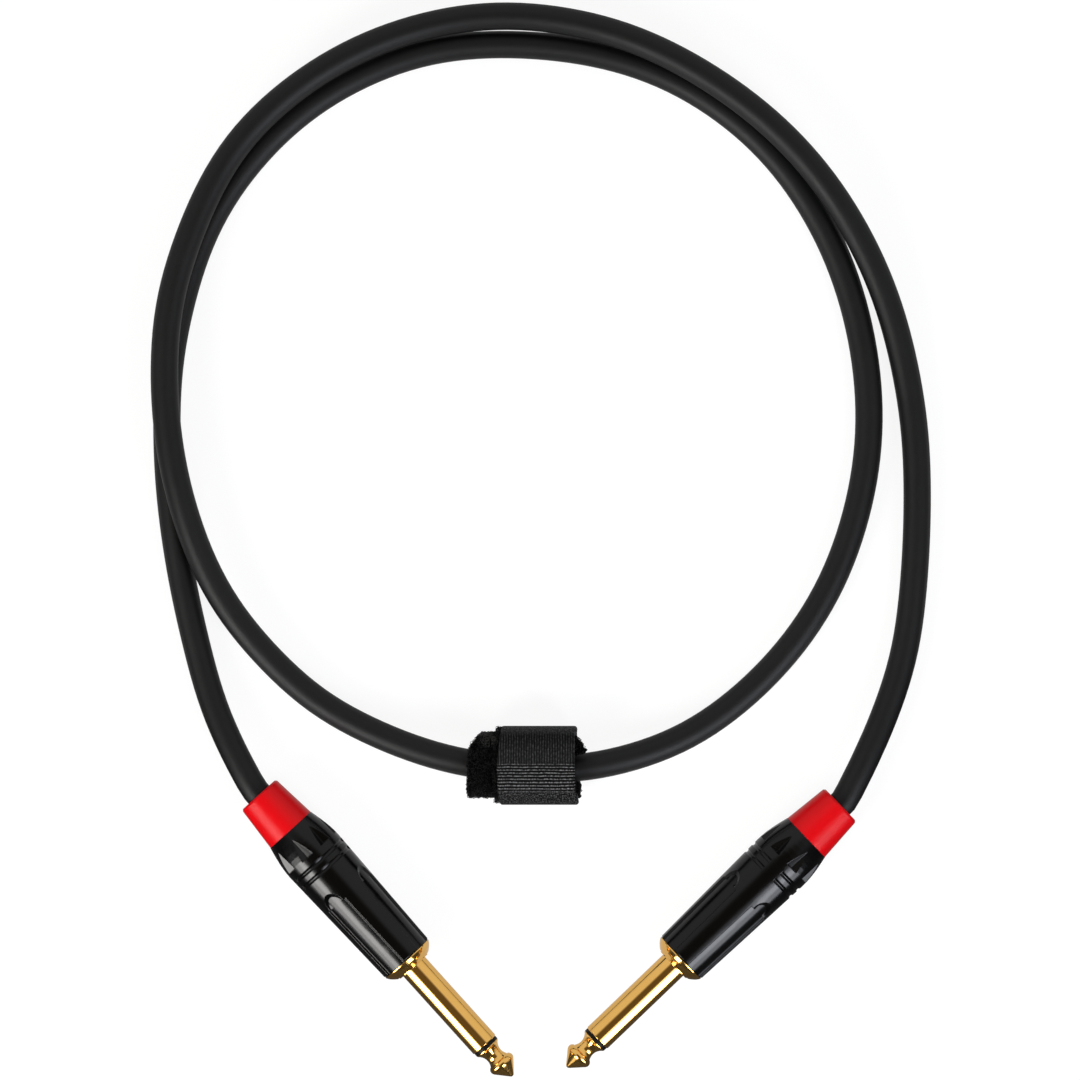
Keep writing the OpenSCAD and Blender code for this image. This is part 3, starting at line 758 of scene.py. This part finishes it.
class CABLE_OT_plugs(bpy.types.Operator):
    """Finishes both plugs"""

    bl_idname = "cable.plugs"
    bl_label = "Plugs"

    def execute(self, context):
        colours = context.scene.cable_plugs
        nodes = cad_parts
        for side in PLUGS:
            gold = gold_finish(side, colours.gold)
            tin = plain_finish("tinned", side, (0.5, 0.5, 0.48), (0.74, 0.74, 0.72), 0.3, 1.0)
            resin = plain_finish(
                "resin", side, (0.003, 0.0028, 0.0027), (0.008, 0.0075, 0.007), 0.4, shine=0.12
            )
            finishes = {
                "sleeve": gold,
                "tip_contact": gold,
                "tip_insulator": resin,
                "rear_insulator": resin,
                "tip_terminal": tin,
                "ground_terminal": tin,
                "insulating_tube": plain_finish(
                    "card", side, (0.1, 0.1, 0.105), (0.17, 0.17, 0.175), 0.6
                ),
                "cord_clamp": plain_finish(
                    "nylon", side, (0.62, 0.59, 0.5), (0.74, 0.72, 0.64), 0.4
                ),
                "shield_pigtail": pigtail_finish(side),
                "solder_joints": plain_finish(
                    "solder", side, (0.42, 0.43, 0.44), (0.66, 0.67, 0.69), 0.25, 1.0
                ),
                "shell": shell_finish(side, colours.shell),
                "boot": boot_finish(side, colours.boot),
            }
            for part, finish in finishes.items():
                mesh = nodes[side + "_" + part].data
                mesh.materials.clear()
                mesh.materials.append(finish.material)
        return {"FINISHED"}


# ----------------------------------------------------------------- the tie


def webbing_finish(colour):
    """Close-woven tape: cross ribs in the middle, lengthwise ribs above and knots at both ends."""
    f = Finish("grey_webbing", Roughness=0.8, Specular_IOR_Level=0.05)
    surface = f.along_surface()
    u, v, _ = f.split(surface)
    sway = f.noise(f.stretch(surface, (300.0, 300.0, 0.0)), 1.0, 2.0)
    speck = f.noise(f.stretch(surface, (2400.0, 2400.0, 0.0)), 1.0, 2.0)
    row = math.tau / RIB_PITCH
    dash = f.noise(f.stretch(surface, (1700.0, 2500.0, 0.0)), 1.0, 2.0)
    cross_ribs = f.sine(u * row + sway * 3.0 + dash * 1.5)
    long_ribs = f.sine(v * (row * 1.15) + sway * 3.0 + dash * 1.5)
    knots = f.noise(f.stretch(surface, (3100.0, 2800.0, 0.0)), 1.0, 1.0)
    edge = speck * 0.002 - 0.001
    # how far past the fold each band of the weave begins and ends, with its soft edge
    above_from, middle_from, middle_to = (-0.0048, -0.003), (0.0026, 0.0038), (0.0082, 0.0094)
    middle = f.reach(u + edge, *middle_from) * f.reach(u + edge, *middle_to, 1.0, 0.0)
    above = f.reach(u + edge, *above_from) * f.reach(u + edge, *middle_from, 1.0, 0.0)
    ends = 1 - middle - above
    weave = (
        middle * f.reach(cross_ribs, 0.5, 1.0, 0.0, 0.75) * f.reach(dash, 0.4, 0.6, 0.25, 1.15)
        + above * f.reach(long_ribs, 0.4, 1.0, 0.03, 0.17) * f.reach(dash, 0.4, 0.65, 0.4, 1.2)
        + f.reach(u, -0.0058, -0.0026, 0.15, 0.0)
        + ends * (f.reach(knots, 0.48, 0.64) * 0.26 + f.reach(speck, 0.5, 0.75) * 0.05)
    )
    tone = weave * (0.6 + speck * 0.8)
    f.feed(
        Base_Color=f.blend(tone, [c * 0.12 for c in colour], [c * 14.0 for c in colour]),
        Roughness=0.7 + speck * 0.2,
        Normal=f.bump(weave + speck * 0.5, 0.00018, 0.9),
    )
    return f


def pile_finish(colour):
    """Brushed nylon, with painted shade between the tufts."""
    f = Finish("black_pile", Roughness=0.85, Specular_IOR_Level=0.05)
    place = f.place()
    tufts = f.noise(place, 1500.0, 4.0, 0.7)
    cloud = f.noise(place, 300.0, 2.0)
    # Base colour darker where the tufts sink: painted shade between the tufts
    f.feed(
        Base_Color=f.blend(
            f.reach(tufts, 0.4, 0.75), [c * 0.2 for c in colour], [c * 1.5 for c in colour]
        ),
        Roughness=0.75 + cloud * 0.2,
        Normal=f.bump(tufts, 0.0005, 0.9),
    )
    return f


def yarn_finish(colour):
    """Curled nylon yarn, paler in a few tufts, with a painted highlight on a pale patch at the
    pile's top left.
    """
    f = Finish("black_yarn", Roughness=0.5, Specular_IOR_Level=0.2)
    place = f.place()
    x, y, _ = f.split(place)
    tufts = f.noise(place, 900.0, 2.0)
    cloud = f.noise(place, 240.0, 2.0)
    # a pale patch at the pile's top left: painted highlight on the curls
    east, north = x - HIGHLIGHT_PATCH[0], y - HIGHLIGHT_PATCH[1]
    wear_and_highlight = f.reach(east * east + north * north, 6e-7, 4.5e-6, 0.55, 0.0)
    f.feed(
        Base_Color=f.blend(
            f.reach(tufts * 0.6 + cloud * 0.4 + wear_and_highlight, 0.56, 0.85),
            [c * 0.6 for c in colour],
            [c * 30.0 for c in colour],
        ),
        Roughness=0.4 + tufts * 0.2,
        Normal=f.bump(f.noise(place, 9000.0, 2.0), 0.00003, 0.5),
    )
    return f


def round_section(out, corner, steps=12):
    """Points round the wound strap, (y, z) in metres, from the middle of its underside on."""
    half_width, half_height = WRAP_HALF_WIDTH + out, WRAP_HALF_HEIGHT + out
    path = []
    for quarter, (sx, sy) in enumerate([(1, -1), (1, 1), (-1, 1), (-1, -1)]):
        cx, cy = sx * (half_width - corner), sy * (half_height - corner)
        for step in range(steps + 1):
            angle = math.radians(-90 + 90 * quarter + 90 * step / steps)
            path.append((cx + corner * math.cos(angle), cy + corner * math.sin(angle)))
    path = np.array([(0.0, -half_height), *path, (0.0, -half_height)])
    return path + [TIE_Y, WRAP_MIDDLE]


def path_lengths(path):
    """The length along a path up to each of its points."""
    return np.concatenate([[0.0], np.cumsum(np.linalg.norm(np.diff(path, axis=0), axis=1))])


def outward_of(path):
    """Unit vectors that point out of the wound strap at each point of its path."""
    along = np.gradient(path, axis=0)
    along /= np.linalg.norm(along, axis=1)[:, None]
    return np.stack([along[:, 1], -along[:, 0]], axis=1)


def part_of(path, first, last, count):
    """Evenly spaced points of a path between two lengths along it."""
    lengths = path_lengths(path)
    want = np.linspace(first, last, count)
    return np.stack([np.interp(want, lengths, path[:, i]) for i in range(2)], axis=1)


def respaced(path, count):
    """Evenly spaced points of a whole path."""
    return part_of(path, 0.0, path_lengths(path)[-1], count)


def edge_at(section, plan, lower):
    """Where a cut edge runs: by pairs of y and x as seen from above, underneath at one x."""
    ys, xs = np.array(plan).T
    away = np.abs(section[:, 0] - TIE_Y)
    above = np.clip((section[:, 1] - WRAP_MIDDLE) / 0.002 + 0.5, 0.0, 1.0)
    beside = np.clip((away / away.max() - 0.5) / 0.15, 0.0, 1.0)
    share = np.maximum(above, beside)
    return lower + share * (np.interp(section[:, 0], ys, xs) - lower)


def edges_at(section, edges):
    """Both cut edges of a strap along a section."""
    left, right, (left_under, right_under) = edges
    return edge_at(section, left, left_under), edge_at(section, right, right_under)


def band(name, section, left, right, thickness, start, columns=44, lumps=0.0, teeth=0.0):
    """A strap that follows a section across the cable, with rounded long edges and flat ends.

    start is its first point's place in the UV map, lumps how far its faces swell and sink, and
    teeth how ragged its long edges are.
    """
    half, rounding = thickness / 2, thickness * 0.42
    turns = [math.radians(90 - 90 * step / 4) for step in range(1, 8)]
    rim = [(rounding * math.cos(turn), half * math.sin(turn)) for turn in turns]
    across = np.linspace(0.0, 1.0, columns)
    outline = [(share, 0.0, half) for share in across]
    outline += [(1.0, out, level) for out, level in rim]
    outline += [(share, 0.0, -half) for share in across[::-1]]
    outline += [(0.0, -out, -level) for out, level in rim]
    count, rings = len(outline), len(section)
    start_clean()
    bpy.ops.mesh.primitive_grid_add(x_subdivisions=rings - 1, y_subdivisions=count, size=2.0)
    piece = bpy.context.object
    piece.name = name
    mesh = piece.data
    flat = coordinates(mesh)
    row = np.rint((flat[:, 0] + 1) / 2 * (rings - 1)).astype(int)
    step = np.rint((flat[:, 1] + 1) / 2 * count).astype(int) % count
    share, out, level = np.array(outline)[step].T
    lengths = path_lengths(section)[row] + start
    ragged = [
        noise.noise(Vector((along * 1900.0, side * 7.0, 3.1)))
        for along, side in zip(lengths, share)
    ]
    low, high = left[row] + rounding, right[row] - rounding
    x = low + share * (high - low) + out + teeth * np.array(ragged) * (2 * share - 1)
    swell = [
        noise.noise(Vector((across_x * 700.0, along * 700.0, 0.3 * np.sign(deep))))
        for across_x, along, deep in zip(x, lengths, level)
    ]
    points = section[row] + outward_of(section)[row] * (level + lumps * np.array(swell))[:, None]
    set_coordinates(mesh, np.stack([x, points[:, 0], points[:, 1]], axis=1))
    layer = mesh.uv_layers.new(name="surface")
    mesh.uv_layers.active = layer
    corner = np.zeros(len(mesh.loops), int)
    mesh.loops.foreach_get("vertex_index", corner)
    layer.data.foreach_set("uv", np.stack([lengths[corner], x[corner]], axis=1).ravel())
    pick(piece)
    bpy.ops.object.mode_set(mode="EDIT")
    bpy.ops.mesh.select_all(action="SELECT")
    bpy.ops.mesh.remove_doubles(threshold=1e-6)
    bpy.ops.mesh.select_all(action="DESELECT")
    bpy.ops.mesh.select_non_manifold(extend=False)
    bpy.ops.mesh.fill_holes(sides=0)
    bpy.ops.object.mode_set(mode="OBJECT")
    outward(piece)
    smooth(piece)
    return piece


def loops_on(name, places, seed):
    """Small curls of yarn, one modelled and the rest copied, sunk into a surface at places."""
    start_clean()
    bpy.ops.mesh.primitive_torus_add(
        major_segments=9, minor_segments=3, major_radius=1.0, minor_radius=0.16
    )
    curl = bpy.context.object
    curl.name = name
    rng = np.random.default_rng(seed)
    collection = bpy.context.collection
    copies = [curl]
    for _ in places[1:]:
        copy = curl.copy()
        copy.data = curl.data.copy()
        collection.objects.link(copy)
        copies.append(copy)
    for copy, (x, y, z, ny, nz) in zip(copies, places):
        size = rng.uniform(0.00022, 0.00044)
        spin = Matrix.Rotation(rng.uniform(0.0, math.tau), 4, "Z")
        lean = Matrix.Rotation(rng.uniform(0.35, 1.9), 4, "Y")
        stand = Vector((0.0, ny, nz)).to_track_quat("Z", "Y").to_matrix().to_4x4()
        squeeze = Matrix.Diagonal((size, size * rng.uniform(0.6, 1.3), size, 1.0))
        copy.matrix_world = Matrix.Translation((x, y, z)) @ stand @ spin @ lean @ squeeze
    start_clean()
    for copy in copies:
        copy.select_set(True)
    bpy.context.view_layer.objects.active = curl
    bpy.ops.object.join()
    settle(curl)
    bpy.ops.object.shade_smooth()
    return curl


def scatter(section, left, right, out, count, rng):
    """Places for curls on a band between two edges, fewer underneath: point and direction."""
    normals = outward_of(section)
    places = []
    while len(places) < count:
        row = int(rng.integers(len(section)))
        if right[row] - left[row] < 0.0002:
            continue
        if normals[row][1] < -0.75 and rng.random() < 0.8:
            continue
        x = rng.uniform(left[row], right[row])
        rise = out + rng.uniform(-0.0001, 0.0002)
        y, z = section[row] + normals[row] * rise
        places.append((x, y, z, normals[row][0], normals[row][1]))
    return places


class CABLE_OT_tie(bpy.types.Operator):
    """Winds the hook-and-loop tie round the cable"""

    bl_idname = "cable.tie"
    bl_label = "Tie"

    def execute(self, context):
        sizes = context.scene.cable_tie
        rng = np.random.default_rng(11)
        webbing = webbing_finish(sizes.webbing)
        pile_colour = pile_finish(sizes.pile)
        yarn = yarn_finish(sizes.pile)

        # the inner turns with their pile
        inner = respaced(round_section(-0.0009, 0.0033, 14), 150)
        pile_left, pile_right = edges_at(inner, PILE_EDGES)
        pile = band(
            "pile_turns", inner, pile_left, pile_right, 0.0015, 0.0, columns=60, lumps=0.0004,
            teeth=0.0005,
        )
        wear(pile, pile_colour)
        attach(pile, "tie_body")

        # the outer turn: up the far side to the fold, and the free end from the fold on
        half = sizes.thickness / 2
        low_path = round_section(half + 0.0001, 0.005)
        high_path = round_section(half + 0.00035, 0.0052)
        # it lies higher over the top, and low again past the far side's bend
        share = np.clip((0.0358 - low_path[:, 0]) / 0.002, 0.0, 1.0)
        share = np.where(low_path[:, 1] > WRAP_MIDDLE, share, 0.0)[:, None]
        outer = low_path + share * (high_path - low_path)
        lengths = path_lengths(outer)
        top = np.where(outer[:, 1] > WRAP_MIDDLE + 0.004)[0]
        fold = float(np.interp(-FOLD_Y, -outer[top, 0], lengths[top]))
        low_side = np.where((outer[:, 1] < FREE_END_Z) & (outer[:, 0] < TIE_Y - 0.004))[0]
        free_end = float(lengths[low_side[0]])
        strap = part_of(outer, 0.0, fold, 90)
        tail = part_of(outer, free_end + 0.0004, lengths[-1], 24)
        under = np.concatenate([tail[:-1], strap])
        whole = respaced(under, 130)
        for name, section, start, body in (
            ("strap_turn", whole, -path_lengths(whole)[-1], "tie_body"),
            ("strap_end", part_of(outer, fold, free_end, 80), 0.0, "flap_body"),
        ):
            left, right = edges_at(section, STRAP_EDGES)
            piece = band(name, section, left, right, sizes.thickness, start, teeth=0.00012)
            wear(piece, webbing)
            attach(piece, body)
            if body == "flap_body":
                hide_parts("tie_flap")

        # curls of yarn: left and right of the strap, on the pile's left edge, as lint along the
        # strap's left edge, and a few beneath the free end
        rim, end = edges_at(inner, STRAP_EDGES)
        fringe = respaced(round_section(0.0006, 0.0048, 14), 150)
        fringe_rim, _ = edges_at(fringe, STRAP_EDGES)
        lint_band = (fringe, fringe_rim - 0.0009, fringe_rim + 0.0003)
        tip_band = (inner, pile_left + 0.0001, pile_left + 0.0003)

        def curls_on(band_of, out, share):
            return scatter(*band_of, out, int(sizes.loops * share), rng)

        def at_free_end(place):
            return place[2] > FREE_END_Z and place[1] < FOLD_Y

        places = curls_on((inner, pile_left + 0.0002, rim + 0.0006), 0.00075, 0.5)
        places += curls_on((inner, end - 0.0004, pile_right - 0.0002), 0.00075, 0.2)
        places += curls_on(tip_band, 0.0, 0.08) + curls_on(tip_band, 0.0006, 0.05)
        lint = []
        for out in (-0.0004, 0.0, 0.0004):
            lint += curls_on(lint_band, out, 0.05)
        covered = curls_on((inner, rim + 0.0006, end - 0.0004), 0.0005, 0.12)
        places += [place for place in covered if at_free_end(place)]
        on_end = [place for place in lint if at_free_end(place)]
        places += [place for place in lint if not at_free_end(place)]
        for name, curled, seed, body in (
            ("pile_curls", places, 5, "tie_body"),
            ("end_curls", on_end, 6, "flap_body"),
        ):
            curls = loops_on(name, curled, seed)
            wear(curls, yarn)
            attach(curls, body)
        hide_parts("tie_wrap")
        return {"FINISHED"}


# --------------------------------------------------------------- the stage


def softbox(name, compass, height, reach, size, watts, colour):
    """A rectangular lamp aimed at the plugs: its compass angle and height angle in degrees."""
    start_clean()
    flat = reach * math.cos(math.radians(height))
    aim = Vector((0.0, -0.005, AXIS_HEIGHT))
    place = aim + Vector(
        (
            flat * math.cos(math.radians(compass)),
            flat * math.sin(math.radians(compass)),
            reach * math.sin(math.radians(height)),
        )
    )
    bpy.ops.object.light_add(type="AREA", location=place)
    lamp = bpy.context.object
    lamp.name = name
    lamp.data.shape = "RECTANGLE"
    lamp.data.size, lamp.data.size_y = size
    lamp.data.energy = watts
    lamp.data.color = colour
    lamp.rotation_euler = (aim - place).to_track_quat("-Z", "Y").to_euler()
    return lamp


class CABLE_OT_stage(bpy.types.Operator):
    """Sets up the floor, the softboxes and the room"""

    bl_idname = "cable.stage"
    bl_label = "Stage"

    def execute(self, context):
        middle = Vector(context.scene.cable_stage.middle)
        start_clean()
        bpy.ops.mesh.primitive_plane_add(size=6.0, location=(middle.x, middle.y, 0.0))
        floor = context.object
        floor.name = "floor"
        f = Finish("floor_white", "ShaderNodeBsdfDiffuse")
        rays = f.nodes.new("ShaderNodeLightPath")
        glossy, through, seen = (
            Wire(f, rays.outputs[name])
            for name in ("Is Glossy Ray", "Is Transmission Ray", "Is Camera Ray")
        )
        mirrored = glossy + through
        # the floor on the outer side of both plugs is darker in what reflects it: measured
        # across the plugs from between them, 0.028 is on either plug's axis
        x, y, _ = f.split(f.add("ShaderNodeNewGeometry", out=0))
        beside = f.add("ShaderNodeMath", {"operation": "ABSOLUTE"}, {0: x + 0.003})
        outside = f.reach(beside * 0.735 - y * 0.678, 0.028, 0.034)
        unseen = f.blend(outside, (0.2, 0.2, 0.2), (0.06, 0.06, 0.06))
        f.feed(Color=f.blend(seen, unseen, (0.16, 0.16, 0.16)))
        glow = f.add(
            "ShaderNodeEmission",
            None,
            {"Color": (1, 1, 1, 1), "Strength": seen * 0.87 + mirrored * (1 - outside) * 0.45},
        )
        both = f.nodes.new("ShaderNodeAddShader")
        f.links.new(f.shader.outputs[0], both.inputs[0])
        f.links.new(glow.socket, both.inputs[1])
        f.links.new(both.outputs[0], f.output.inputs["Surface"])
        floor.data.materials.append(f.material)

        lamps = [softbox(*settings) for settings in SOFTBOXES]
        lamps[-1].visible_glossy = False

        world = context.scene.world or bpy.data.worlds.new("room")
        context.scene.world = world
        world.use_nodes = True
        room = Patterns(world.node_tree)
        direction = room.add("ShaderNodeTexCoord", out=0)
        _, depth, up = room.split(direction)
        ceiling = room.reach(up, 0.84, 0.97)
        behind = room.reach(depth, -0.3, 0.3)
        lofty = room.reach(up, -0.1, 0.4, 0.55, 0.75)
        walls = room.blend(behind * lofty, (0.06, 0.06, 0.06), (1.0, 1.0, 1.0))
        grey = room.blend(ceiling, walls, (0.12, 0.095, 0.06))
        rays = room.nodes.new("ShaderNodeLightPath")
        seen = Wire(room, rays.outputs["Is Camera Ray"])
        shown = room.blend(seen, grey, (1.0, 1.0, 1.0))
        back = room.add("ShaderNodeBackground", None, {"Color": shown, "Strength": 1.0})
        output = room.nodes.new("ShaderNodeOutputWorld")
        room.links.new(back.socket, output.inputs["Surface"])
        context.scene.view_settings.view_transform = "Standard"
        return {"FINISHED"}


class CABLE_PT_panel(bpy.types.Panel):
    """Lists the steps that build the cable"""

    bl_idname = "CABLE_PT_panel"
    bl_label = "Instrument cable"
    bl_space_type = "VIEW_3D"
    bl_region_type = "UI"
    bl_category = "Cable"

    def draw(self, context):
        scene = context.scene
        for title, group, step in (
            ("Stage", scene.cable_stage, "cable.stage"),
            ("Cable", scene.cable_sizes, "cable.cord"),
            ("Plugs", scene.cable_plugs, "cable.plugs"),
            ("Tie", scene.cable_tie, "cable.tie"),
        ):
            box = self.layout.box()
            box.label(text=title)
            for name in group.__annotations__:
                box.prop(group, name)
            box.operator(step)
        self.layout.operator("cable.camera")


GROUPS = {
    "cable_sizes": CableSizes,
    "cable_plugs": PlugSizes,
    "cable_tie": TieSizes,
    "cable_stage": StageSizes,
}
CLASSES = [
    *GROUPS.values(),
    CABLE_OT_camera,
    CABLE_OT_cord,
    CABLE_OT_plugs,
    CABLE_OT_tie,
    CABLE_OT_stage,
    CABLE_PT_panel,
]


def register():
    for part in CLASSES:
        bpy.utils.register_class(part)
    for name, group in GROUPS.items():
        setattr(bpy.types.Scene, name, PointerProperty(type=group))


def unregister():
    for name in GROUPS:
        delattr(bpy.types.Scene, name)
    for part in reversed(CLASSES):
        bpy.utils.unregister_class(part)


def main():
    register()
    bpy.ops.cable.camera()
    bpy.ops.cable.cord()
    bpy.ops.cable.plugs()
    bpy.ops.cable.tie()
    bpy.ops.cable.stage()


if __name__ == "__main__":
    main()
